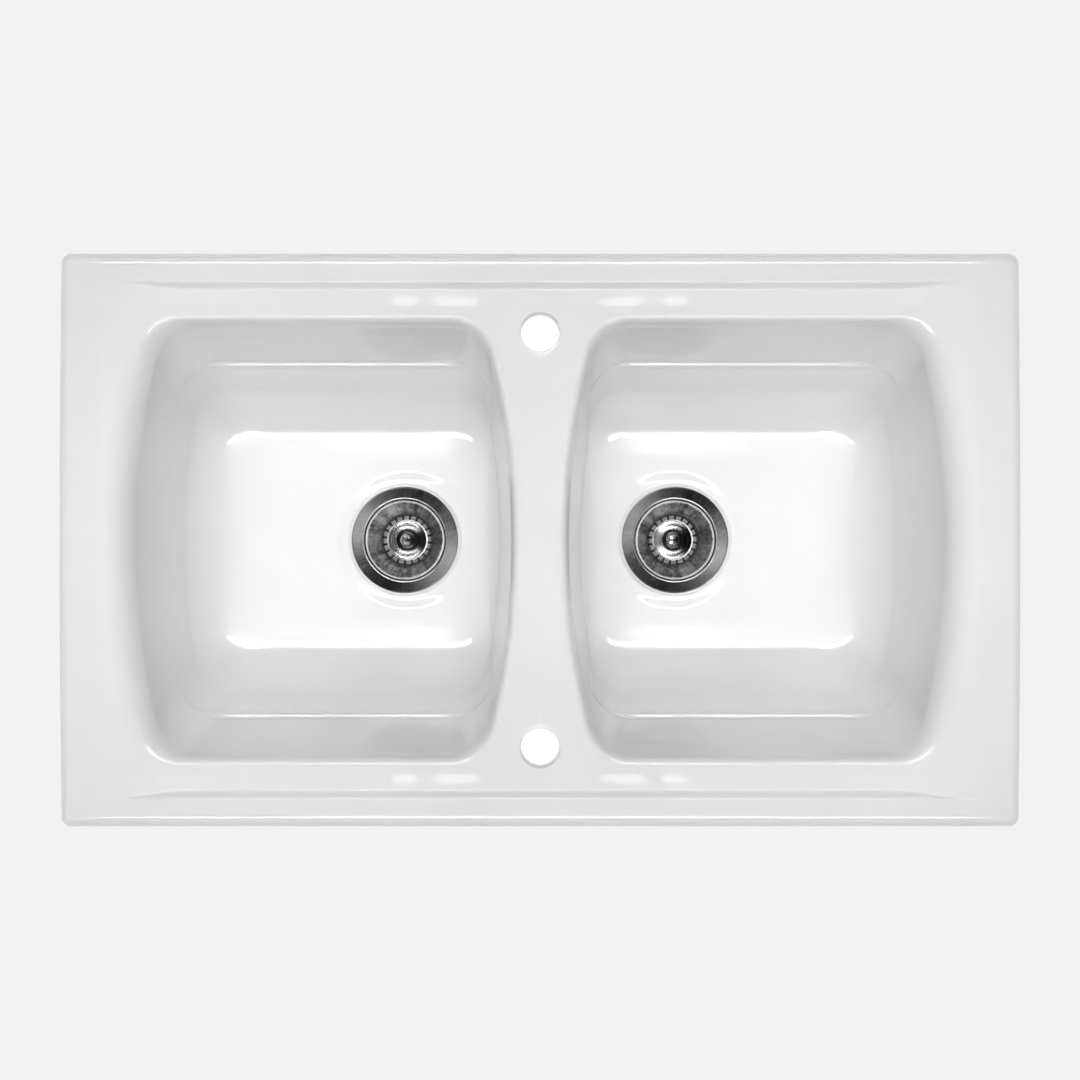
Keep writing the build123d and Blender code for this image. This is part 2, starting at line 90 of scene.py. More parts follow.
# The fireclay body. Its lip, walls and floor flow into one another at curves that change along
# each side, so its right half is drawn as rings of points and mirrored. Sizes in millimetres.
sink = {
    "halfLength": sinkHigh.x / mm,
    "halfWidth": sinkHigh.y / mm,
    "sideBow": 1.8,
    "rimHeight": sinkHigh.z / mm,
    "rimCorner": 9.0,
    "rimRoll": 11.5,
    "rollCorner": 2.0,  # corner radius left at the inner edge of the roll
    "rimFoot": ((0, 1.5), (0.2, 0.75), (0.75, 0.2), (1.5, 0), (4.0, 0)),  # inset, height
    "blockX": 415.0,
    "blockY": 241.5,
    "blockCorner": 14.0,
    "blockUnder": -5.0,
    "blockEdge": 0.8,
    "recessDepth": 5.0,
    "recessFoot": 222.5,
    "recessEdge": 230.4,
    "recessLevel": 318.0,
    "recessEnd": 394.0,
    "swell": 0.75,  # the deck dips a little at the step's foot, in a few patches along it
    "patches": ((58, 92), (111, 129), (278, 343)),
    "patchEase": 9.0,
    "patchStart": 207.0,  # distance from the long middle line where the dips begin
    "patchRun": 12.0,
    "cellX": 404.0,  # the deck's rings end here and a little short of the step
    "cellInset": 2,
    "stepOver": 1,
    "stepLong": 5,
    "flatShares": (0.3, 0.9),
    "underShares": (0.5, 0.8, 0.93),
    "tapOffset": 185.6,
    "tapRadius": 17.5,
    "tapEdge": 1.5,
    "tapClear": 5.0,  # room kept round a tap hole by the rings that lead to it
    "wall": 11.0,
}
bowl = {
    "depth": 190.0,
    "inner": 24.4,
    "reach": 369.0,
    "half": 197.5,
    "corner": 38.0,
    "innerBow": 680.0,
    "outerBow": 700.0,
    "lipDrop": 16.0,
    "lipRoll": 5.5,
    "innerRoll": 10.0,
    "outerRoll": 24.0,
    "lipEase": 0.3,  # share of the lip's fall that comes early, the rest late and steep
    "lipPower": 5.0,
    "ledgeDepth": 80.0,
    "ledgeDrop": 4.5,
    "ledgeWidth": 5.7,
    "crisp": (62.0, 26.0, 338.0, 34.0),  # where the ledge gets crisp along X, and over what length
    "ridge": 0.3,  # a slight wavy ridge left by the mould on the upper wall
    "ridgeDepth": 31.0,
    "ridgeRun": 3.5,
    "ridgeWaves": (0.45, 9.5, 0.3, 4.1),  # height and length along X of each wave
    "upperInset": 25.0,
    "footDepth": 139.0,
    "footInset": 14.0,
    "edgeHalf": 116.0,
    "edgeTilt": math.radians(18.6),
    "levelHalf": 49.0,
    "cornerGain": 6.0,
    "dressed": 0.86,  # share of the floor's rounding drawn before the drain's own rings
}
sides = {
    "inner": {"foot": 158.0, "inset": 17.0, "round": 25.0},
    "outer": {"foot": 125.0, "inset": 10.0, "round": 46.0},
}
waste = {
    "x": drainX / mm,
    "hole": 45.0,
    "dish": 71.0,
    "dishEase": 3.0,
    "dishReach": 19.0,
    "dishDepth": 3.0,
    "seat": 60.0,
    "seatDraft": 1.0,
    "seatDepth": 5.0,
    "boss": 64.0,
    "bossDepth": 14.0,
    "bossEdge": 1.5,
    "edge": 0.6,
}
counts = {  # points along each stretch of a ring, and rings in each stretch of the surface
    "cornerHalf": 6,
    "long": 44,
    "rimAlong": 12,
    "rimArc": 8,
    "rimDown": 10,
    "outer": 28,
    "inner": 40,
    "tap": 14,
    "tapGap": 2,
    "tapBetween": 20,
    "step": 14,
    "deck": 13,
    "roll": 12,
    "lip": 18,
    "upperWall": 24,
    "ledge": 14,
    "lowerWall": 9,
    "floorRound": 26,
    "floor": 15,
    "dish": 9,
}
rimCornerCount = counts["rimAlong"] + counts["rimArc"] + counts["rimDown"]
recessZ = sink["rimHeight"] - sink["recessDepth"]
floorZ = recessZ - bowl["depth"]
seatZ = floorZ - waste["seatDepth"]
bowlDepth = bowl["depth"]


def arc(cx, cy, radius, start, end, count):
    return [
        (
            cx + radius * math.cos(mix(start, end, k / count)),
            cy + radius * math.sin(mix(start, end, k / count)),
        )
        for k in range(count)
    ]


def bowlRing(inner, reach, half, corner):
    # closed outline of a bowl, clockwise from the middle of its inner back corner
    innerX = inner + bowl["innerBow"]
    outerX = reach - bowl["outerBow"]
    rise = half - corner
    innerRun = math.sqrt((bowl["innerBow"] - corner) ** 2 - rise**2)
    outerRun = math.sqrt((bowl["outerBow"] - corner) ** 2 - rise**2)
    nearX, farX = innerX - innerRun, outerX + outerRun
    innerTurn = math.pi - math.atan2(rise, innerRun)
    outerTurn = math.atan2(rise, outerRun)
    up = math.pi / 2
    middle = (innerTurn + up) / 2
    points = arc(nearX, rise, corner, middle, up, counts["cornerHalf"])
    points += [(mix(nearX, farX, k / counts["long"]), half) for k in range(counts["long"])]
    points += arc(farX, rise, corner, up, outerTurn, rimCornerCount)
    points += arc(outerX, 0, bowl["outerBow"], outerTurn, -outerTurn, counts["outer"])
    points += arc(farX, -rise, corner, -outerTurn, -up, rimCornerCount)
    points += [(mix(farX, nearX, k / counts["long"]), -half) for k in range(counts["long"])]
    points += arc(nearX, -rise, corner, -up, -innerTurn, 2 * counts["cornerHalf"])
    for k in range(counts["inner"]):
        t = 2 * k / counts["inner"] - 1
        turn = (math.pi - innerTurn) * (1.25 * t - 0.25 * t**3)
        x = innerX - bowl["innerBow"] * math.cos(turn)
        points.append((x, bowl["innerBow"] * math.sin(turn)))
    points += arc(nearX, rise, corner, innerTurn, middle, counts["cornerHalf"])
    return points


def sidePath(lengthX, widthY, corner, bow=0.0):
    # open outline round the right half, from the middle of the back to the middle of the front
    lip = bowlRing(bowl["inner"], bowl["reach"], bowl["half"], bowl["corner"])
    nearX = lip[counts["cornerHalf"]][0]
    farX = lip[counts["cornerHalf"] + counts["long"]][0]
    endY = lip[counts["cornerHalf"] + counts["long"] + rimCornerCount][1]
    half = [(nearX * k / counts["cornerHalf"], widthY) for k in range(counts["cornerHalf"])]
    half += [(mix(nearX, farX, k / counts["long"]), widthY) for k in range(counts["long"])]
    turnX, turnY = lengthX - corner, widthY - corner
    half += [(mix(farX, turnX, k / counts["rimAlong"]), widthY) for k in range(counts["rimAlong"])]
    half += arc(turnX, turnY, corner, math.pi / 2, 0, counts["rimArc"])
    half += [(lengthX, mix(turnY, endY, k / counts["rimDown"])) for k in range(counts["rimDown"])]
    half += [
        (lengthX, mix(endY, -endY, k / counts["outer"])) for k in range(counts["outer"] // 2)
    ]
    whole = half + [(lengthX, 0.0)] + [(x, -y) for x, y in reversed(half)]
    if bow:
        whole = [(x - bow * (y / widthY) ** 2 * smooth(x / lengthX * 2 - 1), y) for x, y in whole]
    return whole


def tapHalf(centreY, radius):
    turns = [mix(-math.pi / 2, math.pi / 2, k / counts["tap"]) for k in range(counts["tap"] + 1)]
    return [(radius * math.cos(turn), centreY + radius * math.sin(turn)) for turn in turns]


def middlePath(startY, radius):
    # up the sink's middle, round the outer half of each tap hole
    front, back = tapHalf(-sink["tapOffset"], radius), tapHalf(sink["tapOffset"], radius)
    gap, span = counts["tapGap"], counts["tapBetween"]
    path = [(0.0, mix(-startY, front[0][1], k / gap)) for k in range(1, gap)]
    path += front
    path += [(0.0, mix(front[-1][1], back[0][1], k / span)) for k in range(1, span)]
    path += back
    path += [(0.0, mix(back[-1][1], startY, k / gap)) for k in range(1, gap)]
    return path


def clearOfTap(point, radius):
    # moves a point of the deck that lies too near a tap hole straight out from it
    centre = Vector((0, math.copysign(sink["tapOffset"], point.y), point.z))
    away = point - centre
    return centre + away * (radius / away.length) if away.length < radius else point


def deckHeight(x, y):
    away = abs(y)
    along = 1 - smooth((abs(x) - sink["recessLevel"]) / (sink["recessEnd"] - sink["recessLevel"]))
    foot = mix(sink["recessEdge"], sink["recessFoot"], along)
    share = smooth((sink["recessEdge"] - away) / max(0.5, sink["recessEdge"] - foot))
    ease = sink["patchEase"]
    patch = max(
        smooth((abs(x) - low) / ease + 0.5) * smooth((high - abs(x)) / ease + 0.5)
        for low, high in sink["patches"]
    )
    swell = sink["swell"] * patch * smooth((away - sink["patchStart"]) / sink["patchRun"])
    return sink["rimHeight"] - (sink["recessDepth"] + swell) * share * along


def atHeight(points, height):
    return [Vector((x, y, height)) for x, y in points]


def onDeck(points):
    return [Vector((x, y, deckHeight(x, y))) for x, y in points]


def between(first, last, share):
    return [a.lerp(b, share) for a, b in zip(first, last)]


def lipRing(step):
    # from the deck's edge down into the bowl's walls, turning down ever faster
    share = step / counts["lip"]
    drop = bowl["lipDrop"] * mix(share ** bowl["lipPower"], share**2, bowl["lipEase"])
    inner, reach, half, corner = profile(bowl["lipDrop"], 0.0)
    ring = bowlRing(
        mix(bowl["inner"] - bowl["innerRoll"], inner, share),
        mix(bowl["reach"] + bowl["outerRoll"], reach, share),
        mix(bowl["half"] + bowl["lipRoll"], half, share),
        mix(bowl["corner"] + bowl["lipRoll"], corner, share),
    )
    hold = 1 - smooth(share)
    return [Vector((x, y, mix(recessZ, deckHeight(x, y), hold) - drop)) for x, y in ring]


def sideInset(depth, side):
    # how far a bowed side has come in: a lean, then a rounding
    lean = side["inset"] * min(1.0, depth / side["foot"])
    share = max(0.0, (depth - side["foot"]) / (bowlDepth - side["foot"]))
    return lean + side["round"] * (1 - math.sqrt(max(0.0, 1 - share * share)))


def wallHalf(depth, stepped):
    upper = min(1.0, depth / bowl["ledgeDepth"])
    ledgeFoot = bowl["ledgeDepth"] + bowl["ledgeDrop"]
    low = max(0.0, (depth - ledgeFoot) / (bowl["footDepth"] - ledgeFoot))
    half = bowl["half"] - bowl["upperInset"] * upper - bowl["ledgeWidth"] * stepped
    return half - bowl["footInset"] * low


def floorHalf(depth):
    # half the width round the rounding at the front and back, then over the dished floor
    edge, turn = bowl["edgeHalf"], bowl["edgeTilt"]
    curve = (edge - bowl["levelHalf"]) / math.sin(turn)
    rise = curve * (1 - math.cos(turn))
    above = bowlDepth - depth
    if above <= rise:
        return bowl["levelHalf"] + math.sqrt(max(0.0, above * (2 * curve - above)))
    wallRise = bowl["footDepth"] - bowl["ledgeDepth"] - bowl["ledgeDrop"]
    wallTurn = math.atan2(wallRise, bowl["footInset"])
    share = (above - rise) / (bowlDepth - bowl["footDepth"] - rise)
    level = mix(math.cos(turn), math.cos(wallTurn), share)
    across = (math.sqrt(1 - level * level) - math.sin(turn)) / (math.sin(wallTurn) - math.sin(turn))
    return edge + (wallHalf(bowl["footDepth"], 1.0) - edge) * across


def profile(depth, stepped=1.0):
    # inner, reach, half and corner of the bowl's outline at a depth below the lip
    drop = max(0.0, (depth - bowl["footDepth"]) / (bowlDepth - bowl["footDepth"]))
    return (
        bowl["inner"] + sideInset(depth, sides["inner"]),
        bowl["reach"] - sideInset(depth, sides["outer"]),
        floorHalf(depth) if drop > 0 else wallHalf(depth, stepped),
        bowl["corner"] + bowl["cornerGain"] * drop,
    )


def wallRing(depth):
    # crisp ledge along the middle of the front and back, a slow easing in the corners
    crisp = smooth(smooth((depth - bowl["ledgeDepth"]) / bowl["ledgeDrop"]))
    soft = smooth((depth - bowl["lipDrop"]) / (bowl["footDepth"] - bowl["lipDrop"]))
    ridge = bowl["ridge"] * math.exp(-(((depth - bowl["ridgeDepth"]) / bowl["ridgeRun"]) ** 2))
    start, run, end, endRun = bowl["crisp"]
    high, long, less, short = bowl["ridgeWaves"]
    ring = []
    wide, narrow = bowlRing(*profile(depth, 0.0)), bowlRing(*profile(depth, 1.0))
    for (x, y), (nearX, nearY) in zip(wide, narrow):
        along = smooth((x - start) / run) * smooth((end - x) / endRun)
        wave = 1 + high * math.sin(x / long) + less * math.sin(x / short + 1)
        share = mix(soft, crisp, along) if depth < bowl["footDepth"] else 1.0
        inwards = ridge * wave * along * math.copysign(1, y)
        ring.append(Vector((mix(x, nearX, share), mix(y, nearY, share) - inwards, recessZ - depth)))
    return ring


def shellRing(depth, stepped=0.0):
    # the outside of the bowl, a wall's thickness out from the inside
    inner, reach, half, corner = profile(depth, stepped)
    drop = min(1.0, max(0.0, (depth - bowl["footDepth"]) / (bowlDepth - bowl["footDepth"])))
    wall = sink["wall"]
    path = bowlRing(inner - wall, reach + wall, half + wall, corner + wall)
    return atHeight(path, recessZ - depth - wall * drop)


def outlineGap(x, y, inner, reach, half, corner):
    # how far a point lies inside a bowl outline; negative outside
    innerX, outerX = inner + bowl["innerBow"], reach - bowl["outerBow"]
    gaps = (
        half - abs(y),
        bowl["innerBow"] - math.hypot(x - innerX, y),
        bowl["outerBow"] - math.hypot(x - outerX, y),
    )
    side = min(gaps[1], gaps[2])
    if side < corner and gaps[0] < corner:
        return corner - math.hypot(corner - side, corner - gaps[0])
    return min(gaps[0], side)


def bowlHeight(x, y):
    # height of the bowl's surface over a point of its plan, found between the foot and the floor
    low, high = bowl["footDepth"], bowlDepth
    for _ in range(30):
        middle = (low + high) / 2
        if outlineGap(x, y, *profile(middle)) >= 0:
            low = middle
        else:
            high = middle
    return recessZ - low


def drainRing(like, radius, height=None, reach=0.0):
    # a circle about the drain, each point in the direction of the ring that it joins; reach
    # stretches it towards the divider
    centre = Vector((waste["x"], 0, 0))
    base, ring = radius, []
    for point in like:
        away = Vector((point.x - centre.x, point.y, 0)).normalized()
        radius = base + reach * max(0.0, -away.x) ** 2
        x, y = centre.x + away.x * radius, away.y * radius
        ring.append(Vector((x, y, bowlHeight(x, y) if height is None else height)))
    return ring


def bowlInside():
    rings = [lipRing(step) for step in range(counts["lip"] + 1)]
    ledgeFoot = bowl["ledgeDepth"] + bowl["ledgeDrop"]
    dressedDepth = mix(bowl["footDepth"], bowlDepth, bowl["dressed"])
    stages = (
        (bowl["lipDrop"], bowl["ledgeDepth"], counts["upperWall"]),
        (bowl["ledgeDepth"], ledgeFoot, counts["ledge"]),
        (ledgeFoot, bowl["footDepth"], counts["lowerWall"]),
        (bowl["footDepth"], dressedDepth, counts["floorRound"]),
    )
    for start, end, count in stages:
        rings += [wallRing(mix(start, end, step / count)) for step in range(1, count + 1)]
    wallEdge = rings[-1]
    dishEdge = drainRing(wallEdge, waste["dish"] + waste["dishEase"], reach=waste["dishReach"])
    for step in range(1, counts["floor"]):
        ring = between(wallEdge, dishEdge, step / counts["floor"])
        rings.append([Vector((p.x, p.y, bowlHeight(p.x, p.y))) for p in ring])
    rings.append(dishEdge)
    for step in range(1, counts["dish"] + 1):
        share = step / counts["dish"]
        radius = mix(waste["dish"] + waste["dishEase"], waste["seat"] + 0.5, share)
        ring = drainRing(wallEdge, radius, reach=waste["dishReach"] * (1 - share))
        fall = smooth(share)
        rings.append(
            [Vector((p.x, p.y, mix(p.z, floorZ, fall) - waste["dishDepth"] * fall)) for p in ring]
        )
    seatFoot, hole, boss = waste["seat"] - waste["seatDraft"], waste["hole"], waste["boss"]
    underZ, edge = seatZ - waste["bossDepth"], waste["edge"]
    for radius, height in (  # down over the drain seat, through the hole and out under the boss
        (waste["seat"], floorZ - waste["dishDepth"] - 0.3),
        (seatFoot, seatZ + 0.4),
        (seatFoot - 1.0, seatZ),
        (hole + edge, seatZ),
        (hole, seatZ - edge),
        (hole, underZ + edge),
        (hole + edge, underZ),
        (boss - waste["bossEdge"], underZ),
        (boss, underZ + waste["bossEdge"]),
    ):
        rings.append(drainRing(wallEdge, radius, height))
    return rings


def bowlOutside():
    rings = []
    last = shellRing(bowlDepth, 1.0)
    rings.append(drainRing(last, waste["boss"], last[0].z))
    for step in range(1, 5):
        rings.append(between(rings[0], last, step / 4))
    for step in range(counts["floorRound"] - 1, -1, -1):
        turn = math.pi / 2 * step / counts["floorRound"]
        rings.append(shellRing(mix(bowl["footDepth"], bowlDepth, math.sin(turn)), 1.0))
    rings.append(shellRing(bowl["ledgeDepth"] + bowl["ledgeDrop"], 1.0))
    rings.append(shellRing(bowl["ledgeDepth"]))
    for share in (0.75, 0.5, 0.25, 0.0):
        rings.append(shellRing(mix(recessZ - sink["blockUnder"], bowl["ledgeDepth"], share)))
    return rings


class HalfMesh:
    # collects rows of points and the quads between them
    def __init__(self):
        self.mesh = bmesh.new()

    def row(self, points):
        return [self.mesh.verts.new(point * mm) for point in points]

    def strip(self, first, second, closed=True):
        count = len(first)
        for k in range(count if closed else count - 1):
            n = (k + 1) % count
            self.mesh.faces.new((first[k], first[n], second[n], second[k]))

    def rows(self, rings, closed=True, start=None):
        last = start or self.row(rings[0])
        for ring in rings if start else rings[1:]:
            new = self.row(ring)
            self.strip(last, new, closed)
            last = new
        return last


def makeSinkBody():
    half = HalfMesh()
    # top of the deck: from the bowl's lip out to the cell round it, then over the step to the rim
    lipTop = lipRing(0)
    firstBowl = half.row(lipTop)
    cellX, cellY = sink["cellX"], sink["recessFoot"] - sink["cellInset"]
    stepX, stepY = cellX + sink["stepLong"], sink["recessEdge"] + sink["stepOver"]
    cell = onDeck(sidePath(cellX, cellY, sink["rollCorner"]))
    middle = onDeck(middlePath(cellY, sink["tapRadius"] + sink["tapEdge"]))
    outline = cell + middle
    shares = [k / counts["deck"] for k in range(1, counts["deck"])]
    last = firstBowl
    for share in shares:
        radius = sink["tapRadius"] + sink["tapEdge"] + sink["tapClear"] * (1 - share)
        ring = [clearOfTap(point, radius) for point in between(lipTop, outline, share)]
        new = half.row([Vector((p.x, p.y, deckHeight(p.x, p.y))) for p in ring])
        half.strip(new, last)
        last = new
    cellRow, middleRow = half.row(cell), half.row(middle)
    half.strip(cellRow + middleRow, last)
    # the step and the flat strip
    rollX, rollY = sink["halfLength"] - sink["rimRoll"], sink["halfWidth"] - sink["rimRoll"]
    last = cellRow
    for step in range(1, counts["step"] + 1):
        share = step / counts["step"]
        wide, long = mix(cellY, stepY, share), mix(cellX, stepX, share)
        new = half.row(onDeck(sidePath(long, wide, sink["rollCorner"])))
        half.strip(new, last, closed=False)
        last = new
    for share in sink["flatShares"]:
        wide, long = mix(stepY, rollY, share), mix(stepX, rollX, share)
        new = half.row(onDeck(sidePath(long, wide, sink["rollCorner"], sink["sideBow"] * share)))
        half.strip(new, last, closed=False)
        last = new
    # the rounded rim, its foot and its underside
    for step in range(counts["roll"] + 1):
        turn = math.pi / 2 * step / counts["roll"]
        off = sink["rimRoll"] * (1 - math.sin(turn))
        corner = mix(sink["rimCorner"], sink["rollCorner"], off / sink["rimRoll"])
        long, wide = sink["halfLength"] - off, sink["halfWidth"] - off
        path = sidePath(long, wide, corner, sink["sideBow"])
        new = half.row(atHeight(path, sink["rimHeight"] - sink["rimRoll"] * (1 - math.cos(turn))))
        half.strip(new, last, closed=False)
        last = new
    for off, height in sink["rimFoot"]:
        long, wide = sink["halfLength"] - off, sink["halfWidth"] - off
        path = sidePath(long, wide, sink["rimCorner"], sink["sideBow"])
        new = half.row(atHeight(path, height))
        half.strip(new, last, closed=False)
        last = new
    blockZ, blockEdge = sink["blockUnder"], sink["blockEdge"]
    for off, height in ((0, 0), (0, blockZ + blockEdge), (blockEdge, blockZ)):
        path = sidePath(sink["blockX"] - off, sink["blockY"] - off, sink["blockCorner"])
        new = half.row(atHeight(path, height))
        half.strip(new, last, closed=False)
        last = new
    # inside of the bowl, the drain hole, and the outside back up to the deck
    inside, outside = bowlInside(), bowlOutside()
    under = half.rows(inside[1:] + outside, start=firstBowl)
    # underside of the deck
    underMiddle = atHeight(middlePath(sink["blockY"] - blockEdge, sink["tapRadius"]), blockZ)
    underOutline = [vertex.co / mm for vertex in last] + underMiddle
    underMiddleRow = half.row(underMiddle)
    for share in sink["underShares"]:
        radius = sink["tapRadius"] + sink["tapClear"] * (1 - share)
        ring = between(outside[-1], underOutline, share)
        new = half.row([clearOfTap(point, radius) for point in ring])
        half.strip(under, new)
        under = new
    half.strip(under, last + underMiddleRow)
    # the tap holes' edges and walls
    frontStart, count = counts["tapGap"] - 1, counts["tap"] + 1
    backStart = frontStart + count + counts["tapBetween"] - 1
    for start, centreY in ((frontStart, -sink["tapOffset"]), (backStart, sink["tapOffset"])):
        last = middleRow[start:start + count]
        for turn in (30, 60, 90):
            turn = math.radians(turn)
            radius = sink["tapRadius"] + sink["tapEdge"] * (1 - math.sin(turn))
            height = recessZ - sink["tapEdge"] * (1 - math.cos(turn))
            new = half.row(atHeight(tapHalf(centreY, radius), height))
            half.strip(last, new, closed=False)
            last = new
        half.strip(last, underMiddleRow[start:start + count], closed=False)
    bmesh.ops.recalc_face_normals(half.mesh, faces=half.mesh.faces)
    data = bpy.data.meshes.new("sink_glaze")
    half.mesh.to_mesh(data)
    half.mesh.free()
    body = bpy.data.objects.new("sink_glaze", data)
    bpy.context.scene.collection.objects.link(body)
    bpy.ops.object.select_all(action="DESELECT")
    body.select_set(True)
    bpy.context.view_layer.objects.active = body
    bpy.ops.object.modifier_add(type="MIRROR")
    body.modifiers[-1].merge_threshold = 0.02 * mm
    bpy.ops.object.modifier_apply(modifier=body.modifiers[-1].name)
    bpy.ops.object.mode_set(mode="EDIT")
    bpy.ops.mesh.select_all(action="SELECT")
    bpy.ops.mesh.remove_doubles(threshold=0.01 * mm)
    bpy.ops.mesh.normals_make_consistent(inside=False)
    bpy.ops.object.mode_set(mode="OBJECT")
    bpy.ops.object.shade_smooth_by_angle(angle=math.radians(50))
    return body


sinkBody = makeSinkBody()
print("sink body:", len(sinkBody.data.polygons), "faces")


# Materials
def newMaterial(name, **values):
    material = bpy.data.materials.new(name)
    material.use_nodes = True
    shader = material.node_tree.nodes["Principled BSDF"]
    for key, value in values.items():
        shader.inputs[key.replace("_", " ")].default_value = value
    return material, material.node_tree, shader


def addNode(tree, kind, **values):
    node = tree.nodes.new(kind)
    for key, value in values.items():
        if key in node.inputs:
            node.inputs[key].default_value = value
        else:
            setattr(node, key, value)
    return node


def maths(tree, operation, *values):
    # a maths node fed by sockets or plain numbers
    node = addNode(tree, "ShaderNodeMath", operation=operation)
    for socket, value in zip(node.inputs, values):
        if isinstance(value, (int, float)):
            socket.default_value = value
        else:
            tree.links.new(value, socket)
    return node.outputs["Value"]


def objectCoords(tree):
    return addNode(tree, "ShaderNodeTexCoord").outputs["Object"]


def noise(tree, vector, scale, detail=2.0):
    node = addNode(tree, "ShaderNodeTexNoise", Scale=scale, Detail=detail)
    tree.links.new(vector, node.inputs["Vector"])
    return node.outputs["Fac"]


def ramp(tree, value, stops):
    node = addNode(tree, "ShaderNodeValToRGB")
    elements = node.color_ramp.elements
    while len(elements) < len(stops):
        elements.new(0.5)
    for element, (position, tone) in zip(elements, stops):
        element.position = position
        element.color = tone if isinstance(tone, tuple) else (tone, tone, tone, 1)
    tree.links.new(value, node.inputs["Fac"])
    return node.outputs["Color"]


def bump(tree, shader, height, distance, strength=1.0):
    node = addNode(tree, "ShaderNodeBump", Strength=strength, Distance=distance)
    tree.links.new(height, node.inputs["Height"])
    tree.links.new(node.outputs["Normal"], shader.inputs["Normal"])


def within(tree, value, low, high, soft):
    # 1 where a value lies between two limits, easing off outside them
    rise = addNode(tree, "ShaderNodeMapRange", interpolation_type="SMOOTHSTEP")
    rise.inputs["From Min"].default_value = low - soft
    rise.inputs["From Max"].default_value = low
    fall = addNode(tree, "ShaderNodeMapRange", interpolation_type="SMOOTHSTEP")
    fall.inputs["From Min"].default_value = high + soft
    fall.inputs["From Max"].default_value = high
    tree.links.new(value, rise.inputs["Value"])
    tree.links.new(value, fall.inputs["Value"])
    return maths(tree, "MULTIPLY", rise.outputs["Result"], fall.outputs["Result"])


def mixed(tree, share, low, high, kind="FLOAT"):
    # low and high mixed by a share; each may be a socket or a plain value
    node = addNode(tree, "ShaderNodeMix", data_type=kind)
    sockets = [socket for socket in node.inputs if socket.enabled]
    for socket, value in zip(sockets, (share, low, high)):
        if isinstance(value, bpy.types.NodeSocket):
            tree.links.new(value, socket)
        else:
            socket.default_value = value
    return [socket for socket in node.outputs if socket.enabled][0]


glazing = {
    "tones": (0.845, (0.87, 0.87, 0.868, 1)),
    "tintScale": 9.0,
    "rough": 0.07,
    "swellScale": 22.0,
    "swellDepth": 0.6,  # how far the glaze swells as it runs
}


def glazeMaterial():
    material, tree, shader = newMaterial("white glaze", IOR=1.5, Roughness=glazing["rough"])
    coords = objectCoords(tree)
    tint = noise(tree, coords, glazing["tintScale"], 3.0)
    stops = zip((0.35, 0.65), glazing["tones"])
    tree.links.new(ramp(tree, tint, tuple(stops)), shader.inputs["Base Color"])
    swell = noise(tree, coords, glazing["swellScale"], 2.0)
    bump(tree, shader, swell, glazing["swellDepth"] * mm, 0.25)
    return material


sinkBody.data.materials.clear()
sinkBody.data.materials.append(glazeMaterial())
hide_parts("sink_body")
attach(sinkBody, "sink")

# Steel, rubber, plastic and brass of the wastes. Each steel has its light and dark tone, its
# roughness, how far the brushing stretches the highlights (0 is polished), its share of the lighter
# lobes of painted highlight and of the mottle, then rings of painted highlight or painted shade:
# radii, tone, on one side only.
steels = {
    "strainer_flange": {
        "dark": 0.06,
        "light": 0.32,
        "rough": 0.34,
        "stretch": 0.75,
        "paintedLobeShare": 1.0,
        "mottle": 0.5,
        "paintedRings": ((43.7, 44.7, 0.62, False),),
    },
    "basket_cup": {
        "dark": 0.16,
        "light": 0.66,
        "rough": 0.5,
        "stretch": 0.3,
        "paintedLobeShare": 0.25,
        "mottle": 1.6,
        "paintedRings": ((40.7, 41.8, 0.62, False), (22.0, 28.4, 0.3, False), (20.4, 22.0, 0.9, True)),
    },
    "basket_knob": {
        "dark": 0.04,
        "light": 0.6,
        "rough": 0.24,
        "stretch": 0.0,
        "paintedLobeShare": 1.0,
        "mottle": 0.06,
        "paintedRings": ((7.4, 11.4, 0.05, False),),
    },
}
brushing = {
    "turn": 140.0,  # degrees from +X to the lighter lobes of painted highlight on the turned steel
    "spokes": 2.6,
    "blotch": 210.0,
    "lines": 900.0,
    "lineDepth": 0.02,
    "polish": 0.6,  # radius of the edges that the polishing wheel rounded off
}
paintedSlotMarks = {  # painted shades and painted highlights round the basket, one at each slot
    "count": 20,
    "shades": (  # radii, tone, strength, turn in degrees and width
        (32.5, 35.5, 0.7, 0.35, 4.0, 0.85),  # painted highlights of the press marks on the wall
        (22.2, 26.2, 0.004, 1.0, 6.7, 0.72),  # painted shadow in the slots
    ),
}


def polar(tree, centreX, turn=0.0):
    # direction from a waste's axis, turned, and the radius, from the object's own coordinates
    place = addNode(tree, "ShaderNodeMapping", vector_type="TEXTURE")
    place.inputs["Location"].default_value = (centreX, 0, 0)
    place.inputs["Rotation"].default_value = (0, 0, math.radians(turn))
    tree.links.new(objectCoords(tree), place.inputs["Vector"])
    parts = addNode(tree, "ShaderNodeSeparateXYZ")
    tree.links.new(place.outputs["Vector"], parts.inputs["Vector"])
    level = addNode(tree, "ShaderNodeCombineXYZ")
    tree.links.new(parts.outputs["X"], level.inputs["X"])
    tree.links.new(parts.outputs["Y"], level.inputs["Y"])
    length = addNode(tree, "ShaderNodeVectorMath", operation="LENGTH")
    tree.links.new(level.outputs["Vector"], length.inputs[0])
    unit = addNode(tree, "ShaderNodeVectorMath", operation="NORMALIZE")
    tree.links.new(level.outputs["Vector"], unit.inputs[0])
    return unit.outputs["Vector"], length.outputs["Value"]


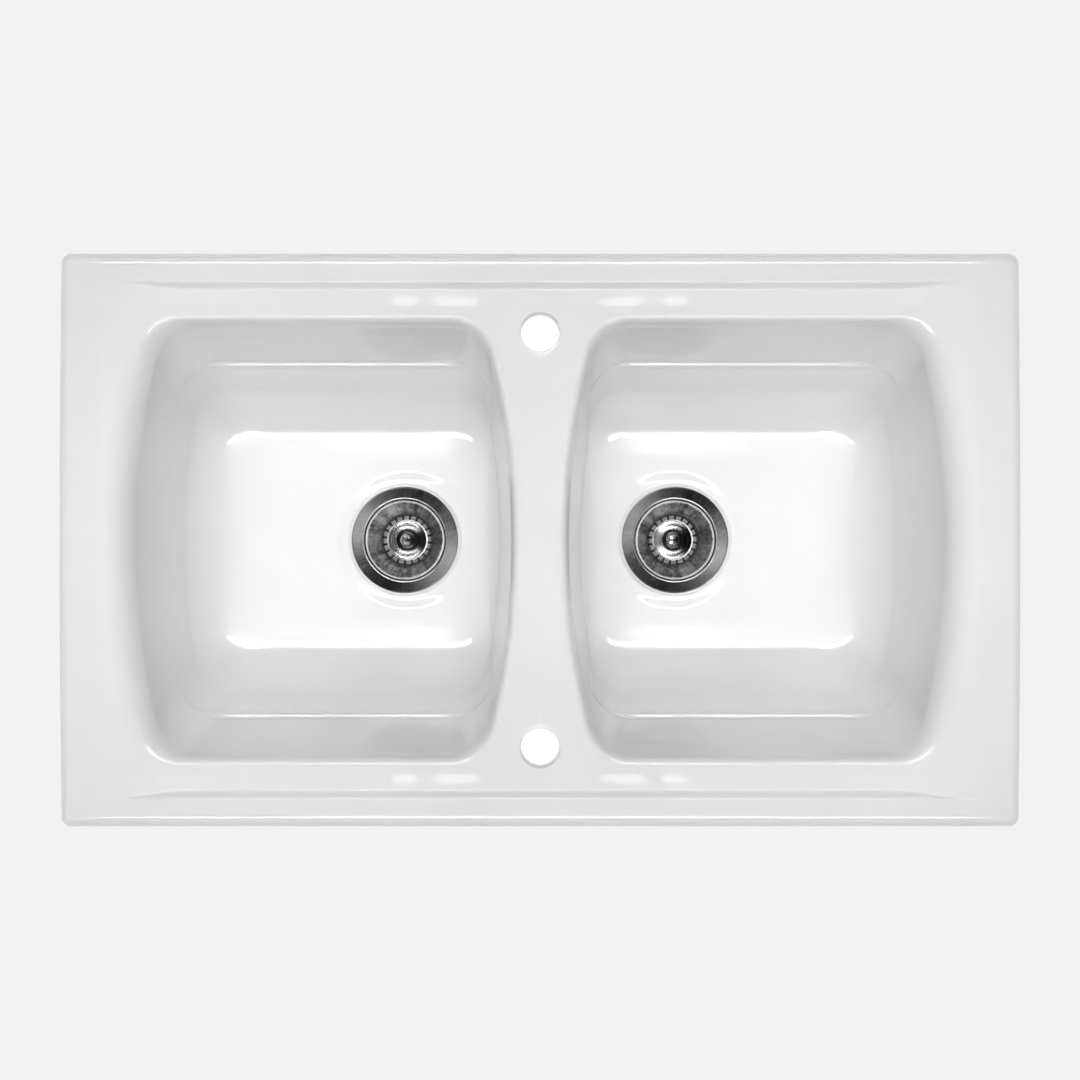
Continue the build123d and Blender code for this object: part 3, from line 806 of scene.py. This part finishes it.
def shadesRound(tree, parts, radius, tone):
    # evenly spaced painted shade and painted highlight marks round the axis, each between two radii
    around = maths(tree, "ARCTAN2", parts.outputs["Y"], parts.outputs["X"])
    count = paintedSlotMarks["count"]
    for low, high, shade, strength, turn, width in paintedSlotMarks["shades"]:
        turned = maths(tree, "MULTIPLY_ADD", around, count, math.radians(turn) * count)
        wave = maths(tree, "COSINE", turned)
        inside = within(tree, radius, low * mm, high * mm, 0.5 * mm)
        mark = maths(tree, "MULTIPLY", within(tree, wave, width, 1.1, 0.25), inside)
        share = maths(tree, "MULTIPLY", mark, strength)
        tone = mixed(tree, share, tone, (shade, shade, shade, 1), "RGBA")
    return tone


def turnedSteel(name, centreX, steel, slotted):
    # lathe-brushed steel: two lighter lobes of painted highlight, spokes between them, fine rings
    material, tree, shader = newMaterial(name, Metallic=1.0)
    straight, radius = polar(tree, centreX)
    parts = addNode(tree, "ShaderNodeSeparateXYZ")
    tree.links.new(straight, parts.inputs["Vector"])
    if steel["stretch"]:
        # painted highlight: the base colour is lighter along one turned direction and its opposite
        turned = addNode(tree, "ShaderNodeSeparateXYZ")
        tree.links.new(polar(tree, centreX, brushing["turn"])[0], turned.inputs["Vector"])
        paintedLobe = maths(tree, "MULTIPLY", turned.outputs["X"], turned.outputs["X"])
    else:  # polished: painted shade, darker on one side only
        paintedLobe = maths(tree, "MULTIPLY_ADD", parts.outputs["X"], -0.5, 0.5)
    total = mixed(tree, steel["paintedLobeShare"], 0.5, paintedLobe)
    for vector, scale, share in (
        (straight, brushing["spokes"], 1.6),
        (straight, brushing["spokes"] * 7, 0.6),
        (objectCoords(tree), brushing["blotch"], 1.0),
    ):
        offset = maths(tree, "MULTIPLY_ADD", noise(tree, vector, scale, 3.0), share, -0.5 * share)
        total = maths(tree, "MULTIPLY_ADD", offset, steel["mottle"], total)
    tone = ramp(tree, total, ((0.05, steel["dark"]), (0.95, steel["light"])))
    # rings of painted highlight (lighter tone) and of painted shade (darker tone), some on one side
    # only
    for low, high, shade, oneSided in steel["paintedRings"]:
        paintedRing = within(tree, radius, low * mm, high * mm, 0.3 * mm)
        if oneSided:
            paintedRing = maths(tree, "MULTIPLY", paintedRing, within(tree, parts.outputs["X"], 0.1, 1.1, 0.6))
        tone = mixed(tree, paintedRing, tone, (shade, shade, shade, 1), "RGBA")
    if slotted:
        tone = shadesRound(tree, parts, radius, tone)
    tree.links.new(tone, shader.inputs["Base Color"])
    rings = addNode(tree, "ShaderNodeTexNoise", noise_dimensions="1D", Detail=2.0)
    rings.inputs["Scale"].default_value = brushing["lines"]
    tree.links.new(radius, rings.inputs["W"])
    rough = addNode(tree, "ShaderNodeMapRange")
    rough.inputs["To Min"].default_value = steel["rough"] * 0.8
    rough.inputs["To Max"].default_value = steel["rough"] * 1.25
    tree.links.new(rings.outputs["Fac"], rough.inputs["Value"])
    tree.links.new(rough.outputs["Result"], shader.inputs["Roughness"])
    if steel["stretch"]:
        shader.inputs["Anisotropic"].default_value = steel["stretch"]
        around = addNode(tree, "ShaderNodeVectorMath", operation="CROSS_PRODUCT")
        around.inputs[0].default_value = (0, 0, 1)
        tree.links.new(straight, around.inputs[1])
        spin = addNode(tree, "ShaderNodeVectorTransform", vector_type="VECTOR")
        spin.convert_from, spin.convert_to = "OBJECT", "WORLD"
        tree.links.new(around.outputs["Vector"], spin.inputs["Vector"])
        tree.links.new(spin.outputs["Vector"], shader.inputs["Tangent"])
        bump(tree, shader, rings.outputs["Fac"], brushing["lineDepth"] * mm, 0.5)
    else:
        soft = addNode(tree, "ShaderNodeBevel", samples=12)
        soft.inputs["Radius"].default_value = brushing["polish"] * mm
        tree.links.new(soft.outputs["Normal"], shader.inputs["Normal"])
    return material


def grainMaterial(name, tones, rough, scale, depth, metallic=0.0):
    # a plain material with a fine mottle in colour, roughness and surface
    material, tree, shader = newMaterial(name, Metallic=metallic)
    grain = noise(tree, objectCoords(tree), scale, 4.0)
    tone = ramp(tree, grain, ((0.3, tones[0]), (0.7, tones[1])))
    tree.links.new(tone, shader.inputs["Base Color"])
    spread = addNode(tree, "ShaderNodeMapRange")
    spread.inputs["To Min"].default_value = rough * 0.8
    spread.inputs["To Max"].default_value = min(1.0, rough * 1.2)
    tree.links.new(grain, spread.inputs["Value"])
    tree.links.new(spread.outputs["Result"], shader.inputs["Roughness"])
    bump(tree, shader, grain, depth * mm, 0.6)
    return material


def dress(name, material):
    data = nodes[name].data
    data.materials.clear()
    data.materials.append(material)


plain = {
    "black rubber": grainMaterial("black rubber", (0.014, 0.024), 0.6, 900, 0.03),
    "stopper rubber": grainMaterial("stopper rubber", (0.02, 0.035), 0.5, 600, 0.03),
    "white plastic": grainMaterial("white plastic", (0.68, 0.74), 0.4, 250, 0.04),
    "drawn steel": grainMaterial("drawn steel", (0.42, 0.55), 0.28, 1100, 0.01, 1.0),
    "brass": grainMaterial(
        "brass", ((0.56, 0.38, 0.14, 1), (0.68, 0.48, 0.2, 1)), 0.3, 700, 0.01, 1.0
    ),
}
finishes = {
    "flange_seal": "black rubber",
    "lower_gasket": "black rubber",
    "waste_body": "white plastic",
    "thread_insert": "brass",
    "clamp_screw": "drawn steel",
    "stopper_seal": "stopper rubber",
    "stopper_washer": "drawn steel",
    "basket_stem": "drawn steel",
    "stem_clip": "drawn steel",
}
for side, way in (("left", -1), ("right", 1)):
    for piece, steel in steels.items():
        label = side + " " + piece.replace("_", " ")
        dress(side + "_" + piece, turnedSteel(label, way * drainX, steel, piece == "basket_cup"))
    for piece, finish in finishes.items():
        dress(side + "_" + piece, plain[finish])
print("materials made")


# Studio: the camera straight above, two rows of ceiling light and a plain bright floor
view = {
    "height": 1.0025,
    "lens": 37.15,
    "floor": 0.887,
    "spot": 1.05,  # whiter spots of the floor, which show through the tap holes
    "spotY": 0.238,
    "spotRadius": 0.027,
    "spotEdge": 0.06,
}
lights = {
    "softboxHeight": 4.0,
    "softboxY": 1.86,
    "softboxSize": (2.9, 1.36),
    "softbox": 3.6,
    "tubeHeight": 3.6,
    "tubeY": 1.95,
    "tubeSize": (3.9, 0.3),
    "tube": 24.0,
    "fills": {  # place along X and height, aim along X, size and watts, mirrored for the other bowl
        " fill": (0.62, 0.62, 0.05, (0.25, 0.35), 0.04),
        " outer fill": (0.08, 0.8, 0.36, (0.3, 0.35), 0.15),
    },
    "fillAim": -0.1,
    "fillSpread": 60.0,
    "worldLeft": 0.1,
    "worldRight": 0.02,
    "worldSpan": (-0.9, 0.5),
}


def emptyMaterial(name):
    material = bpy.data.materials.new(name)
    material.use_nodes = True
    material.node_tree.nodes.clear()
    material.node_tree.nodes.new("ShaderNodeOutputMaterial")
    return material, material.node_tree


def glowingFloor():
    # as evenly bright as a catalogue's background, and white in sight of the tap holes
    bpy.ops.mesh.primitive_plane_add(size=30, location=(0, 0, cadBox[0].z - 0.0005))
    sheet = bpy.context.object
    sheet.name = "pale floor"
    material, tree = emptyMaterial(sheet.name)
    parts = addNode(tree, "ShaderNodeSeparateXYZ")
    tree.links.new(objectCoords(tree), parts.inputs["Vector"])
    aside = maths(tree, "SUBTRACT", maths(tree, "ABSOLUTE", parts.outputs["Y"]), view["spotY"])
    across = maths(tree, "MULTIPLY", parts.outputs["X"], parts.outputs["X"])
    away = maths(tree, "SQRT", maths(tree, "MULTIPLY_ADD", aside, aside, across))
    spot = addNode(tree, "ShaderNodeMapRange", interpolation_type="SMOOTHSTEP")
    spot.inputs["From Min"].default_value = view["spotRadius"]
    spot.inputs["From Max"].default_value = view["spotEdge"]
    spot.inputs["To Min"].default_value = view["spot"]
    spot.inputs["To Max"].default_value = view["floor"]
    tree.links.new(away, spot.inputs["Value"])
    glow = addNode(tree, "ShaderNodeEmission")
    tree.links.new(spot.outputs["Result"], glow.inputs["Strength"])
    tree.links.new(glow.outputs["Emission"], tree.nodes["Material Output"].inputs["Surface"])
    sheet.data.materials.append(material)


glowingFloor()


def softbox(name, place, size, strength, edge):
    # a glowing sheet that faces the middle of the sink and fades towards its edges
    bpy.ops.mesh.primitive_plane_add(size=1, location=place)
    sheet = bpy.context.object
    sheet.name = name
    sheet.scale = (*size, 1)
    sheet.rotation_euler = Vector(place).to_track_quat("Z", "Y").to_euler()
    material, tree = emptyMaterial(name)
    parts = addNode(tree, "ShaderNodeSeparateXYZ")
    tree.links.new(objectCoords(tree), parts.inputs["Vector"])
    fades = []
    for axis, width in zip("XY", edge):
        away = maths(tree, "ABSOLUTE", parts.outputs[axis])
        fade = addNode(tree, "ShaderNodeMapRange", interpolation_type="SMOOTHSTEP")
        fade.inputs["From Min"].default_value = 0.5
        fade.inputs["From Max"].default_value = 0.5 - width
        tree.links.new(away, fade.inputs["Value"])
        fades.append(fade.outputs["Result"])
    power = maths(tree, "MULTIPLY", maths(tree, "MULTIPLY", fades[0], fades[1]), strength)
    glow = addNode(tree, "ShaderNodeEmission")
    tree.links.new(power, glow.inputs["Strength"])
    tree.links.new(glow.outputs["Emission"], tree.nodes["Material Output"].inputs["Surface"])
    sheet.data.materials.append(material)
    sheet.visible_camera = False


def fillLight(name, place, aim, size, watts):
    # soft light with no mirror image in the glaze
    bpy.ops.object.light_add(type="AREA", location=place)
    light = bpy.context.object
    light.name = name
    light.data.shape = "RECTANGLE"
    light.data.size, light.data.size_y = size
    light.data.energy = watts
    light.data.spread = math.radians(lights["fillSpread"])
    light.rotation_euler = (Vector(place) - Vector(aim)).to_track_quat("Z", "Y").to_euler()
    light.visible_glossy = False


for end, way in (("back", 1), ("front", -1)):
    place = (0, way * lights["softboxY"], lights["softboxHeight"])
    softbox(end + " softbox", place, lights["softboxSize"], lights["softbox"], (0.25, 0.25))
for end, way in (("back", 1), ("front", -1)):
    place = (0, way * lights["tubeY"], lights["tubeHeight"])
    softbox(end + " tube", place, lights["tubeSize"], lights["tube"], (0.02, 0.25))
for side, way in (("left", -1), ("right", 1)):
    for kind, (placeX, placeZ, aimX, size, watts) in lights["fills"].items():
        place, aim = (way * placeX, 0, placeZ), (way * aimX, 0, lights["fillAim"])
        fillLight(side + kind, place, aim, size, watts)

world = bpy.data.worlds.new("studio")
world.use_nodes = True
tree = world.node_tree
sideways = addNode(tree, "ShaderNodeSeparateXYZ")
tree.links.new(addNode(tree, "ShaderNodeTexCoord").outputs["Generated"], sideways.inputs["Vector"])
shade = addNode(tree, "ShaderNodeMapRange")
shade.inputs["From Min"].default_value, shade.inputs["From Max"].default_value = lights["worldSpan"]
shade.inputs["To Min"].default_value = lights["worldLeft"]
shade.inputs["To Max"].default_value = lights["worldRight"]
tree.links.new(sideways.outputs["X"], shade.inputs["Value"])
tree.links.new(shade.outputs["Result"], tree.nodes["Background"].inputs["Color"])
bpy.context.scene.world = world

bpy.ops.object.camera_add(location=(0, 0, view["height"]))
camera = bpy.context.object
camera.data.lens = view["lens"]
camera.data.sensor_width = 36
bpy.context.scene.camera = camera
bpy.context.scene.view_settings.view_transform = "Standard"
